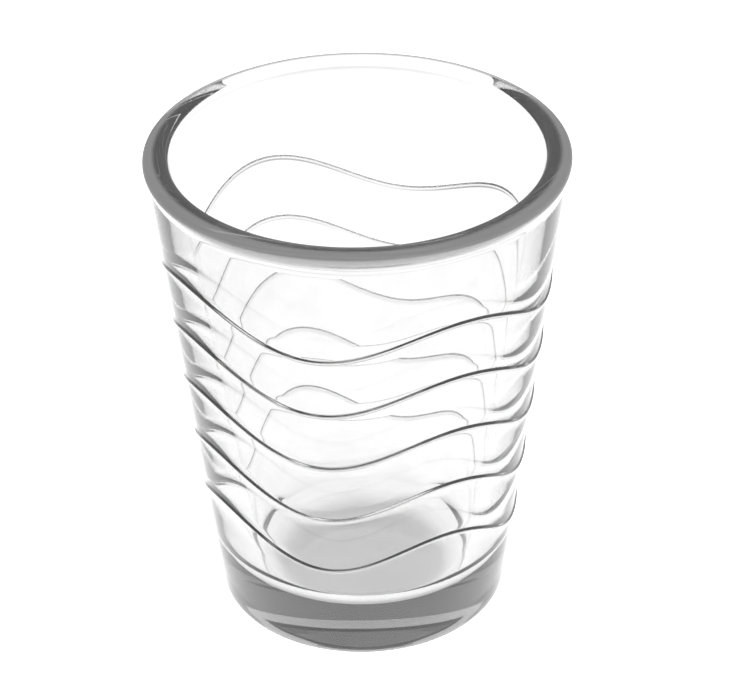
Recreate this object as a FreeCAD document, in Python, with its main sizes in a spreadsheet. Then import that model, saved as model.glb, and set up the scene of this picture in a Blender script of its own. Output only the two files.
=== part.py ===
import FreeCAD, Part
import math
import os
import Sketcher

# A pressed shot glass, made as the real one is: a single piece of clear glass. It stands on the XY plane
# with its axis on Z, and sizes are in millimetres and degrees. The wall widens from a rounded foot to a
# rounded rim that stands a little proud of it all round, over a thick floor with a shallow dish under it.
# Five wavy rings stand proud of the outside too: one wave form, repeated down the wall, with all the
# rings leaning slightly to one side.

SIZES = {
    "glass_height": 61.9,
    "rim_diameter": 50.8,
    "rim_width": 3.1,  # across the rim, from the inside of the glass to the outside
    "rim_round": 0.75,  # the rim's corner on each side
    "rim_crown": 3.0,  # the radius of the gentler curve over its top
    "neck_diameter": 49.9,  # where the outside of the wall meets the underside of the rim
    "foot_diameter": 30.5,  # where the foot's rounded corner leaves the table
    "foot_corner": 2.5,
    "dish_diameter": 23.0,  # the hollow under the foot, inside the ring that it stands on
    "dish_depth": 0.8,
    "floor_height": 6.2,
    "floor_diameter": 20.0,  # the flat part of the floor inside, within its rounded corner
    "floor_corner": 4.0,
    "ring_width": 0.9,  # across each wavy ring's bead, up the wall
    "ring_relief": 0.22,  # how far its middle stands out of the wall
    "ring_count": 5,
    "ring_height": 15.6,  # the lowest ring's mean height
    "ring_spacing": 8.0,
    "wave_count": 4,  # waves once round the glass
    "wave_rise": 2.25,  # from a ring's mean height to its crest
    "crest_turn": 31.0,  # how far round from -Y, towards +X, every ring has a crest
    "lean_rise": 1.2,  # how much higher the rings are on the side they lean up to
    "lean_turn": -53.0,  # where round the glass that side is
}
BEAD_STEPS = (-1, -0.5, 0, 0.5, 1)  # the curves across each bead, in halves of its width
CURVE_POINTS = 96  # round each curve
FIRST_TURN = 90  # every curve starts on +X
SEAM = 0.001  # the largest gap that is sewn up
NODE = "glass_body"


def add_sheet(doc):
    """The spreadsheet of driving dimensions, one to a row, with its name beside it."""
    sheet = doc.addObject("Spreadsheet::Sheet", "Sizes")
    for row, (name, value) in enumerate(SIZES.items(), start=1):
        sheet.set(f"A{row}", name)
        sheet.set(f"B{row}", str(value))
        sheet.setAlias(f"B{row}", name)
    doc.recompute()
    return sheet


def line(x0, y0, x1, y1):
    return Part.LineSegment(FreeCAD.Vector(x0, y0, 0), FreeCAD.Vector(x1, y1, 0))


def arc(x, y, radius, start, end):
    """An arc about (x, y), anticlockwise between two angles in degrees."""
    circle = Part.Circle(FreeCAD.Vector(x, y, 0), FreeCAD.Vector(0, 0, 1), radius)
    return Part.ArcOfCircle(circle, math.radians(start), math.radians(end))


def add_section(body, sheet):
    """Half of the glass's section, on the XZ plane. Its rounds and flats have the sizes: the inside of the
    wall is then the common tangent of two rounds, and the outside runs from the foot's round to the neck."""
    section = body.newObject("Sketcher::SketchObject", "section")
    plane = next(f for f in body.Origin.OriginFeatures if f.Role == "XZ_Plane")
    section.AttachmentSupport = [(plane, "")]
    section.MapMode = "FlatFace"

    rim_x = (sheet.rim_diameter - sheet.rim_width) / 2
    crown_y = sheet.glass_height - sheet.rim_crown
    corner_x = sheet.rim_width / 2 - sheet.rim_round
    corner_y = math.sqrt((sheet.rim_crown - sheet.rim_round) ** 2 - corner_x**2)
    corner_edge = math.degrees(math.atan2(corner_y, corner_x))
    rim_y = crown_y + corner_y
    neck_x = sheet.neck_diameter / 2
    neck_edge = math.degrees(math.acos((neck_x - rim_x - corner_x) / sheet.rim_round))
    neck_y = rim_y - sheet.rim_round * math.sin(math.radians(neck_edge))
    foot_x = sheet.foot_diameter / 2
    foot_y = sheet.foot_corner
    floor_x = sheet.floor_diameter / 2
    floor_y = sheet.floor_height
    bend_y = floor_y + sheet.floor_corner
    dish_x = sheet.dish_diameter / 2
    dish_y = sheet.dish_depth
    dish_round = (dish_x**2 + dish_y**2) / (2 * dish_y)
    dish_edge = math.degrees(math.acos(dish_x / dish_round))
    taper = math.degrees(math.atan2(neck_x - foot_x - foot_y, neck_y - foot_y))

    # The section's outline, in order round it, and roughly in place until its constraints are solved.
    floor, floor_bend, inside, rim_in, crown, rim_out, outside, foot_bend, ring, dish, axis = (
        section.addGeometry(
            [
                line(0, floor_y, floor_x, floor_y),
                arc(floor_x, bend_y, sheet.floor_corner, -90, -taper),
                line(floor_x + sheet.floor_corner, bend_y, rim_x - sheet.rim_width / 2, rim_y),
                arc(rim_x - corner_x, rim_y, sheet.rim_round, 180 - corner_edge, 180 - taper),
                arc(rim_x, crown_y, sheet.rim_crown, corner_edge, 180 - corner_edge),
                arc(rim_x + corner_x, rim_y, sheet.rim_round, -neck_edge, corner_edge),
                line(foot_x + sheet.foot_corner, foot_y, neck_x, neck_y),
                arc(foot_x, foot_y, sheet.foot_corner, -90, -taper),
                line(dish_x, 0, foot_x, 0),
                arc(0, dish_y - dish_round, dish_round, dish_edge, 90),
                line(0, dish_y, 0, floor_y),
            ],
            False,
        )
    )
    start, end, centre = 1, 2, 3
    level, upright = -1, -2  # the sketch's own axes, which meet at the level one's start
    joined = [
        ("Tangent", floor, end, floor_bend, start),
        ("Tangent", floor_bend, end, inside, start),
        ("Tangent", inside, end, rim_in, end),
        ("Tangent", rim_in, start, crown, end),
        ("Tangent", crown, start, rim_out, end),
        ("Coincident", rim_out, start, outside, end),
        ("Tangent", outside, start, foot_bend, end),
        ("Tangent", foot_bend, start, ring, end),
        ("Coincident", ring, start, dish, start),
        ("Coincident", dish, end, axis, start),
        ("Coincident", axis, end, floor, start),
        ("PointOnObject", axis, start, upright),
        ("PointOnObject", axis, end, upright),
        ("PointOnObject", dish, centre, upright),
        ("PointOnObject", ring, start, level),
        ("Horizontal", floor),
        ("Horizontal", ring),
        ("Horizontal", rim_in, centre, rim_out, centre),
        ("Equal", rim_in, rim_out),
    ]
    section.addConstraint([Sketcher.Constraint(*terms) for terms in joined])
    corner_at = "Sizes.rim_diameter / 2 - Sizes.rim_round"
    crown_at = "(Sizes.rim_diameter - Sizes.rim_width) / 2"
    crown_under = "Sizes.glass_height - Sizes.rim_crown"
    sizes = [
        ("rim_round", ("Radius", rim_out), sheet.rim_round, "Sizes.rim_round"),
        ("rim_x", ("DistanceX", rim_out, centre), rim_x + corner_x, corner_at),
        ("crown_round", ("Radius", crown), sheet.rim_crown, "Sizes.rim_crown"),
        ("crown_x", ("DistanceX", crown, centre), rim_x, crown_at),
        ("crown_y", ("DistanceY", crown, centre), crown_y, crown_under),
        ("neck_x", ("DistanceX", outside, end), neck_x, "Sizes.neck_diameter / 2"),
        ("foot_round", ("Radius", foot_bend), sheet.foot_corner, "Sizes.foot_corner"),
        ("foot_x", ("DistanceX", foot_bend, centre), foot_x, "Sizes.foot_diameter / 2"),
        ("floor_round", ("Radius", floor_bend), sheet.floor_corner, "Sizes.floor_corner"),
        ("floor_x", ("DistanceX", floor, end), floor_x, "Sizes.floor_diameter / 2"),
        ("floor_y", ("DistanceY", floor, end), floor_y, "Sizes.floor_height"),
        ("dish_x", ("DistanceX", dish, start), dish_x, "Sizes.dish_diameter / 2"),
        ("dish_y", ("DistanceY", dish, end), dish_y, "Sizes.dish_depth"),
    ]
    for name, (kind, *point), value, formula in sizes:
        index = section.addConstraint(Sketcher.Constraint(kind, *point, value))
        section.renameConstraint(index, name)
        section.setExpression(f"Constraints.{name}", formula)
    return section


def add_blank(doc, sheet):
    """The glass without its rings: the section turned once round the axis."""
    body = doc.addObject("PartDesign::Body", "blank")
    section = add_section(body, sheet)
    turned = body.newObject("PartDesign::Revolution", "turned_glass")
    turned.Profile = section
    turned.ReferenceAxis = (section, ["V_Axis"])
    turned.Angle = 360
    doc.recompute()
    return body


def round_axis(radius, turn, height):
    """The point at a turn in degrees round the axis from -Y, towards +X."""
    around = math.radians(turn)
    return FreeCAD.Vector(radius * math.sin(around), -radius * math.cos(around), height)


def closed_curve(points):
    """A smooth curve through evenly turned points and back to the first."""
    curve = Part.BSplineCurve()
    curve.interpolate(Points=points, PeriodicFlag=True, Parameters=range(len(points) + 1))
    return curve.toShape()


def ring_middle(sheet, number, turn):
    """The height of a ring's middle at a turn round the glass. Ring 0 is the lowest."""
    wave = sheet.wave_rise * math.cos(math.radians(sheet.wave_count * (turn - sheet.crest_turn)))
    lean = sheet.lean_rise * math.cos(math.radians(turn - sheet.lean_turn))
    return sheet.ring_height + number * sheet.ring_spacing + wave + lean


def outside_faces(sheet, wall):
    """The outside of the wall with its rings, in place of the plain cone between the same two circles.
    Each face is ruled between two closed curves: cone between the rings, and a bead across each ring."""
    circles = [edge for edge in wall.Edges if edge.isClosed()]
    foot, neck = sorted(circles, key=lambda edge: edge.Curve.Center.z)
    foot_radius, foot_height = foot.Curve.Radius, foot.Curve.Center.z
    slope = (neck.Curve.Radius - foot_radius) / (neck.Curve.Center.z - foot_height)
    curves = [foot]
    for number in range(int(sheet.ring_count)):
        for across in BEAD_STEPS:
            proud = sheet.ring_relief * math.cos(across * math.pi / 2)
            points = []
            for step in range(CURVE_POINTS):
                turn = FIRST_TURN + 360 * step / CURVE_POINTS
                height = ring_middle(sheet, number, turn) + across * sheet.ring_width / 2
                radius = foot_radius + slope * (height - foot_height) + proud
                points.append(round_axis(radius, turn, height))
            curves.append(closed_curve(points))
    curves.append(neck)
    return [Part.makeRuledSurface(below, above) for below, above in zip(curves, curves[1:])]


def add_glass(doc, sheet):
    """The whole glass: the turned blank, with the cone outside its wall changed for the one with rings."""
    blank = add_blank(doc, sheet)
    wall = max(blank.Shape.Faces, key=lambda face: face.Area)
    kept = [face for face in blank.Shape.Faces if not face.isSame(wall)]
    skin = Part.Compound(kept + outside_faces(sheet, wall))
    skin.sewShape(SEAM)
    glass = doc.addObject("Part::Feature", NODE)
    glass.Label = NODE
    glass.Shape = Part.Solid(skin.Shells[0])
    doc.recompute()
    return glass, blank


def check(doc, glass, blank):
    """Stops if anything failed, or if the rings didn't add their own small share of glass."""
    failed = [f"{o.Label}: {o.State}" for o in doc.Objects if {"Invalid", "Error"} & set(o.State)]
    shape = glass.Shape
    whole = not shape.isNull() and shape.isValid() and shape.isClosed() and len(shape.Solids) == 1
    if failed or not whole:
        raise RuntimeError(f"the glass didn't build: {failed}")
    added = shape.Volume - blank.Shape.Volume
    if not 0 < added < 0.02 * blank.Shape.Volume:
        raise RuntimeError(f"the rings added {added:.1f} mm3")
    print(f"{glass.Label}: {shape.Volume:.0f} mm3 of glass, {added:.1f} of it in the rings")


def main():
    doc = FreeCAD.newDocument("shot_glass")
    sheet = add_sheet(doc)
    glass, blank = add_glass(doc, sheet)
    check(doc, glass, blank)
    os.makedirs("parts", exist_ok=True)
    glass.Shape.exportStep(f"parts/{glass.Label}.step")


main()
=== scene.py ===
import math

import bpy
import numpy as np
from mathutils import Matrix, Vector


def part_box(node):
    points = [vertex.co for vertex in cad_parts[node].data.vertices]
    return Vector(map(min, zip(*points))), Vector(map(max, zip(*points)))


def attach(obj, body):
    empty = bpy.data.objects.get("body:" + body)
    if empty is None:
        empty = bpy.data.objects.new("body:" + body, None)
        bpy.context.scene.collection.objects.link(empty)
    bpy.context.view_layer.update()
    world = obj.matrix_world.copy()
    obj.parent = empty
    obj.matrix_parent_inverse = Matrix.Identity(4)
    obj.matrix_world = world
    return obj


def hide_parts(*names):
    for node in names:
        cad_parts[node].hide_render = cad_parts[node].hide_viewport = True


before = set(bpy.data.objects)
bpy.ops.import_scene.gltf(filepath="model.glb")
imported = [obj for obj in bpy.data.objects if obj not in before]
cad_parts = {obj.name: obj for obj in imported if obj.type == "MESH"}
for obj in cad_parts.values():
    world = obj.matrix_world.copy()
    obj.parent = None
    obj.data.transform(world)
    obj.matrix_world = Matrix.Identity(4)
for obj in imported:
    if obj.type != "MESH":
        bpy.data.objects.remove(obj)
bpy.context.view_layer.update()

# A pressed shot glass: one piece of clear glass, with five wavy rings standing a little proud of its wall.
# Lengths are in metres and turns are degrees round the axis from -Y, towards +X, as in the CAD model.
MM = 0.001
low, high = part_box("glass_body")
HEIGHT = high.z - low.z
RIM_RADIUS = (high.x - low.x) / 2
RIM_WIDTH = 3.1 * MM
RIM_ROUND = 0.75 * MM  # the rim's corner on each side
RIM_CROWN = 3.0 * MM  # the radius of the gentler curve over its top
NECK_RADIUS = 24.95 * MM  # where the outside of the wall meets the underside of the rim
FOOT_RADIUS = 15.25 * MM  # where the foot's rounded corner leaves the table
FOOT_CORNER = 2.5 * MM
DISH_RADIUS = 11.5 * MM
DISH_DEPTH = 0.8 * MM
FLOOR_HEIGHT = 6.2 * MM
FLOOR_RADIUS = 10.0 * MM
FLOOR_CORNER = 4.0 * MM

RING_WIDTH = 0.9 * MM
RING_RELIEF = 0.22 * MM
RING_COUNT = 5
RING_HEIGHT = 15.6 * MM  # the lowest ring's mean height
RING_SPACING = 8.0 * MM
WAVE_COUNT = 4
WAVE_RISE = 2.25 * MM
CREST_TURN = 31.0
LEAN_RISE = 1.2 * MM
LEAN_TURN = -53.0

# Steps in the mesh: round the glass, and along each stretch of its section.
COLUMNS = 336
DISH_STEPS = 12
FOOT_FLAT_STEPS = 4
FOOT_CORNER_STEPS = 16
GAP_STEPS = 6  # between one ring and the next
BEAD_ROWS = 13  # across one ring
NECK_STEPS = 8
RIM_STEPS = 14
RIM_INSIDE_STEPS = 8
INSIDE_STEPS = 40
FLOOR_CORNER_STEPS = 20
FLOOR_STEPS = 12

# A dull film on the glass, as the share of the surface that it covers; its patchy grey is partly painted
# shade for the grey of the glass's flanks.
FILM_AND_SHADE_THIN = 0.02
FILM_AND_SHADE_THICK = 0.07
RING_PAINTED_SHADE = 0.15  # painted shade added along the middle of each ring, for its dark line
LIP_PAINTED_SHADE = 0.12, 0.75  # painted shade added over the lip, inside and outside of a blend between two radii
LIP_EDGE = 23.9 * MM, 24.4 * MM
LIP_DROP = 1.35 * MM  # how far down from the top the lip's painted shade reaches
UNEVEN = 0.02 * MM  # the height of the surface's slow waves
TINT_DENSITY = 42.0  # per metre

# Patches of painted light on the floor, and a painted shadow under the glass: centre, edge, end, and the
# value inside the edge and beyond the end.
WIDE_POOL = ((0.03, 0.06, 0), 0.1, 0.24, 1.5, 0.6)
POOL = ((0.02, -0.04, 0), 0.03, 0.12, 0.35, 0.0)
SHADE = ((0, 0, 0), 0.009, 0.0155, 0.5, 1.0)
FLOOR_SIZE = 20
FLOOR_GAP = 0.02 * MM  # keeps the floor just clear of the foot
HORIZON_LIGHT = 0.47
ZENITH_LIGHT = 0.72

VIEW_ELEVATION = math.radians(32.24)
VIEW_DISTANCE = 0.45
AIM_RIGHT = 0.0036 * VIEW_DISTANCE
AIM_UP = 0.0068 * VIEW_DISTANCE
ROLL = math.radians(-0.77)
SENSOR_WIDTH = 36
FOCAL_LENGTH = 177.16
LIGHT_BOUNCES = 32


def arc(x, y, radius, start, end, count):
    """Points on an arc about (x, y) between two angles in degrees, both ends included."""
    angles = np.radians(np.linspace(start, end, count + 1))
    return [(x + radius * math.cos(a), y + radius * math.sin(a)) for a in angles]


def between(count):
    """The fractions that divide a stretch into equal steps, without its two ends."""
    return np.linspace(0, 1, count + 1)[1:-1]


def run(first, last, count):
    """Evenly spaced points between two, both left out."""
    (x0, y0), (x1, y1) = first, last
    return [(x0 + (x1 - x0) * t, y0 + (y1 - y0) * t) for t in between(count)]


def angle_to(x, y, across, up, reach):
    """The direction, in degrees, of the normal to the line past a round's centre at (x, y), at a distance
    reach on that side, that goes through the point (across, up)."""
    gap = math.hypot(across - x, up - y)
    return math.degrees(math.atan2(up - y, across - x) - math.acos(reach / gap))


def outline():
    """The section's fixed points, as (radius, height): under the foot and up to the wall, then from the
    neck over the rim, then down the inside and across the floor."""
    rim_x = RIM_RADIUS - RIM_WIDTH / 2
    crown_y = HEIGHT - RIM_CROWN
    corner_x = RIM_WIDTH / 2 - RIM_ROUND
    corner_y = math.sqrt((RIM_CROWN - RIM_ROUND) ** 2 - corner_x**2)
    corner_edge = math.degrees(math.atan2(corner_y, corner_x))
    rim_y = crown_y + corner_y
    neck_edge = math.degrees(math.acos((NECK_RADIUS - rim_x - corner_x) / RIM_ROUND))
    neck_y = rim_y - RIM_ROUND * math.sin(math.radians(neck_edge))
    outer = angle_to(FOOT_RADIUS, FOOT_CORNER, NECK_RADIUS, neck_y, FOOT_CORNER)
    floor_y = FLOOR_HEIGHT + FLOOR_CORNER
    inner = angle_to(FLOOR_RADIUS, floor_y, rim_x - corner_x, rim_y, FLOOR_CORNER + RIM_ROUND)
    dish_round = (DISH_RADIUS**2 + DISH_DEPTH**2) / (2 * DISH_DEPTH)
    dish_edge = math.degrees(math.acos(DISH_RADIUS / dish_round))

    under = arc(0, DISH_DEPTH - dish_round, dish_round, 90, dish_edge, DISH_STEPS)[1:]
    foot_bend = arc(FOOT_RADIUS, FOOT_CORNER, FOOT_CORNER, -90, outer, FOOT_CORNER_STEPS)
    under += run(under[-1], foot_bend[0], FOOT_FLAT_STEPS) + foot_bend
    rim = arc(rim_x + corner_x, rim_y, RIM_ROUND, -neck_edge, corner_edge, RIM_STEPS)[:-1]
    rim += arc(rim_x, crown_y, RIM_CROWN, corner_edge, 180 - corner_edge, RIM_STEPS)
    rim += arc(rim_x - corner_x, rim_y, RIM_ROUND, 180 - corner_edge, 180 + inner, RIM_INSIDE_STEPS)[1:]
    bend = arc(FLOOR_RADIUS, floor_y, FLOOR_CORNER, inner, -90, FLOOR_CORNER_STEPS)
    inside = run(rim[-1], bend[0], INSIDE_STEPS)
    floor = run(bend[-1], (0, FLOOR_HEIGHT), FLOOR_STEPS)
    return under, rim, inside + bend + floor


def ring_middle(number, turn):
    """The height of a ring's middle at each turn round the glass."""
    wave = WAVE_RISE * np.cos(np.radians(WAVE_COUNT * (turn - CREST_TURN)))
    lean = LEAN_RISE * np.cos(np.radians(turn - LEAN_TURN))
    return RING_HEIGHT + number * RING_SPACING + wave + lean


def wall_rows(foot, neck, turn):
    """Rows up the outside of the wall, with its rings, as (radius, height, share of painted shade)."""
    (foot_r, foot_z), (neck_r, neck_z) = foot, neck
    slope = (neck_r - foot_r) / (neck_z - foot_z)
    below = foot_z
    rows = []
    for number in range(RING_COUNT):
        middle = ring_middle(number, turn)
        edge = middle - RING_WIDTH / 2
        rows += [(below + (edge - below) * t, 0.0, 0.0) for t in between(GAP_STEPS)]
        for across in np.linspace(-1, 1, BEAD_ROWS):
            swell = math.cos(across * math.pi / 2)
            # Each ring's middle gets painted shade, a darker line along it.
            rows.append((middle + across * RING_WIDTH / 2, RING_RELIEF * swell**2, RING_PAINTED_SHADE * swell))
        below = middle + RING_WIDTH / 2
    rows += [(below + (neck_z - below) * t, 0.0, 0.0) for t in between(NECK_STEPS)]
    return [(foot_r + slope * (z - foot_z) + proud, z, shade_film) for z, proud, shade_film in rows]


# Painted shade over the lip: its share at a point of the section, greyer towards the outside.
def painted_lip_shade(r, z):
    return np.interp(r, LIP_EDGE, LIP_PAINTED_SHADE) if z > HEIGHT - LIP_DROP else 0.0


def glass_mesh():
    turn = np.arange(COLUMNS) * 360 / COLUMNS
    under, rim, inside = outline()
    rows = [(r, z, 0.0) for r, z in under]
    rows += wall_rows(under[-1], rim[0], turn)
    rows += [(r, z, painted_lip_shade(r, z)) for r, z in rim]
    rows += [(r, z, 0.0) for r, z in inside]

    around = np.radians(turn)
    points = [[[0, 0, DISH_DEPTH]]]
    for r, z, _ in rows:
        level = np.broadcast_to(z, COLUMNS)
        points.append(np.stack([r * np.sin(around), -r * np.cos(around), level], axis=1))
    points.append([[0, 0, FLOOR_HEIGHT]])
    verts = np.concatenate(points)

    last = len(verts) - 1
    faces = []
    for c in range(COLUMNS):
        n = (c + 1) % COLUMNS
        faces.append((0, 1 + n, 1 + c))
        for k in range(len(rows) - 1):
            a = 1 + k * COLUMNS
            b = a + COLUMNS
            faces.append((a + c, a + n, b + n, b + c))
        faces.append((last, last - COLUMNS + c, last - COLUMNS + n))

    mesh = bpy.data.meshes.new("glass")
    mesh.from_pydata(verts.tolist(), [], faces)
    mesh.validate()
    mesh.polygons.foreach_set("use_smooth", [True] * len(mesh.polygons))
    # The share of painted shade at each point, along the rings and over the lip.
    shade_films = np.repeat([shade_film for _, _, shade_film in rows], COLUMNS)
    cover = mesh.attributes.new("shade_film", "FLOAT", "POINT")
    cover.data.foreach_set("value", np.concatenate([[0.0], shade_films, [0.0]]))
    mesh.update()
    return mesh


def node(tree, kind, **inputs):
    """A new shader node with some of its inputs set. An input's name has _ where the socket has a space."""
    made = tree.nodes.new(kind)
    for name, value in inputs.items():
        made.inputs[name.replace("_", " ")].default_value = value
    return made


def combine(tree, operation, first, second):
    """The result of a sum or product of two sockets."""
    made = tree.nodes.new("ShaderNodeMath")
    made.operation = operation
    tree.links.new(first, made.inputs[0])
    tree.links.new(second, made.inputs[1])
    return made.outputs["Value"]


def glass_material():
    """Clear glass with a grey tint in its depth, a slightly uneven surface, and a patchy dull film that is
    partly painted grey shade, with more painted shade along the rings and over the lip.
    """
    m = bpy.data.materials.new("clear_glass")
    m.use_nodes = True
    tree = m.node_tree
    links = tree.links
    output = tree.nodes["Material Output"]
    shader = tree.nodes["Principled BSDF"]
    shader.inputs["Base Color"].default_value = (0.99, 0.99, 0.99, 1)
    shader.inputs["IOR"].default_value = 1.52
    shader.inputs["Transmission Weight"].default_value = 1.0

    place = tree.nodes.new("ShaderNodeTexCoord")
    sway = node(tree, "ShaderNodeTexNoise", Scale=90.0, Detail=1.0, Roughness=0.4)
    links.new(place.outputs["Object"], sway.inputs["Vector"])
    uneven = node(tree, "ShaderNodeBump", Strength=1.0, Distance=UNEVEN)
    links.new(sway.outputs["Fac"], uneven.inputs["Height"])
    links.new(uneven.outputs["Normal"], shader.inputs["Normal"])

    cloud = node(tree, "ShaderNodeTexNoise", Scale=140.0, Detail=3.0, Roughness=0.55)
    links.new(place.outputs["Object"], cloud.inputs["Vector"])
    polish = node(tree, "ShaderNodeMapRange", From_Min=0.3, From_Max=0.75, To_Min=0.0, To_Max=0.03)
    links.new(cloud.outputs["Fac"], polish.inputs["Value"])
    links.new(polish.outputs["Result"], shader.inputs["Roughness"])

    # A patchy dull film, partly painted grey shade over the flanks.
    patchy = node(tree, "ShaderNodeMapRange", From_Min=0.3, From_Max=0.75)
    patchy.inputs["To Min"].default_value = FILM_AND_SHADE_THIN
    patchy.inputs["To Max"].default_value = FILM_AND_SHADE_THICK
    links.new(cloud.outputs["Fac"], patchy.inputs["Value"])
    # Painted shade along the rings and over the lip, from the mesh.
    added = tree.nodes.new("ShaderNodeAttribute")
    added.attribute_name = "shade_film"
    # One grey layer for the dull film and for the painted shade.
    shade_film = node(tree, "ShaderNodeBsdfDiffuse", Color=(0.5, 0.5, 0.5, 1))
    coated = tree.nodes.new("ShaderNodeMixShader")
    cover = combine(tree, "ADD", patchy.outputs["Result"], added.outputs["Fac"])
    links.new(cover, coated.inputs["Fac"])
    links.new(shader.outputs["BSDF"], coated.inputs[1])
    links.new(shade_film.outputs["BSDF"], coated.inputs[2])
    links.new(coated.outputs["Shader"], output.inputs["Surface"])

    tint = node(tree, "ShaderNodeVolumeAbsorption", Color=(0.0, 0.0, 0.0, 1), Density=TINT_DENSITY)
    links.new(tint.outputs["Volume"], output.inputs["Volume"])
    return m


def spot(tree, place, centre, edge, end, inside, outside):
    """A round patch of painted light on the floor, one value inside its edge and another beyond its end; a
    lower value inside paints a shadow.
    """
    away = tree.nodes.new("ShaderNodeVectorMath")
    away.operation = "DISTANCE"
    away.inputs[1].default_value = centre
    tree.links.new(place.outputs["Object"], away.inputs[0])
    patch = node(tree, "ShaderNodeMapRange", From_Min=edge, From_Max=end, To_Min=inside, To_Max=outside)
    patch.interpolation_type = "SMOOTHSTEP"
    tree.links.new(away.outputs["Value"], patch.inputs["Value"])
    return patch.outputs["Result"]


def floor_material():
    """A pale floor that glows, with painted light in soft pools round the glass and a painted shadow right
    under it.
    """
    m = bpy.data.materials.new("pale_floor")
    m.use_nodes = True
    tree = m.node_tree
    shader = tree.nodes["Principled BSDF"]
    shader.inputs["Base Color"].default_value = (0.05, 0.05, 0.05, 1)
    shader.inputs["Roughness"].default_value = 1.0
    shader.inputs["Specular IOR Level"].default_value = 0.0
    shader.inputs["Emission Color"].default_value = (1, 1, 1, 1)
    place = tree.nodes.new("ShaderNodeTexCoord")
    # The glow is painted light: two pools, times a painted shadow under the glass.
    lit = combine(tree, "ADD", spot(tree, place, *WIDE_POOL), spot(tree, place, *POOL))
    light = combine(tree, "MULTIPLY", lit, spot(tree, place, *SHADE))
    tree.links.new(light, shader.inputs["Emission Strength"])
    return m


def studio():
    """Soft light from all round, brighter overhead."""
    world = bpy.data.worlds.new("studio")
    bpy.context.scene.world = world
    world.use_nodes = True
    tree = world.node_tree
    links = tree.links
    place = tree.nodes.new("ShaderNodeTexCoord")
    split = tree.nodes.new("ShaderNodeSeparateXYZ")
    links.new(place.outputs["Generated"], split.inputs["Vector"])
    height = node(tree, "ShaderNodeMapRange", To_Min=HORIZON_LIGHT, To_Max=ZENITH_LIGHT)
    links.new(split.outputs["Z"], height.inputs["Value"])
    background = tree.nodes["Background"]
    background.inputs["Color"].default_value = (1, 1, 1, 1)
    links.new(height.outputs["Result"], background.inputs["Strength"])


def place_camera():
    """A long lens that looks down at the glass, aimed a little above and to the right of its centre."""
    centre = (low + high) / 2
    back = Vector((0, -math.cos(VIEW_ELEVATION), math.sin(VIEW_ELEVATION)))
    up = Vector((0, math.sin(VIEW_ELEVATION), math.cos(VIEW_ELEVATION)))
    camera = bpy.data.objects.new("camera", bpy.data.cameras.new("camera"))
    bpy.context.scene.collection.objects.link(camera)
    bpy.context.scene.camera = camera
    camera.data.lens = FOCAL_LENGTH
    camera.data.sensor_width = SENSOR_WIDTH
    camera.data.clip_start = 0.01
    camera.data.clip_end = 100
    camera.location = centre + back * VIEW_DISTANCE
    aim = centre + Vector((1, 0, 0)) * AIM_RIGHT + up * AIM_UP
    look = (aim - camera.location).to_track_quat("-Z", "Y").to_matrix().to_4x4()
    camera.matrix_world = Matrix.Translation(camera.location) @ look @ Matrix.Rotation(ROLL, 4, "Z")


glass = bpy.data.objects.new("glass", glass_mesh())
bpy.context.scene.collection.objects.link(glass)
glass.data.materials.append(glass_material())
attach(glass, "root")
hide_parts("glass_body")

bpy.ops.mesh.primitive_plane_add(size=FLOOR_SIZE, location=(0, 0, -FLOOR_GAP))
floor = bpy.context.object
floor.name = "floor"
floor.data.materials.append(floor_material())

studio()
place_camera()

scene = bpy.context.scene
scene.view_settings.view_transform = "Standard"
scene.cycles.max_bounces = LIGHT_BOUNCES
scene.cycles.transmission_bounces = LIGHT_BOUNCES
scene.cycles.transparent_max_bounces = LIGHT_BOUNCES
scene.cycles.caustics_refractive = True
scene.cycles.caustics_reflective = True
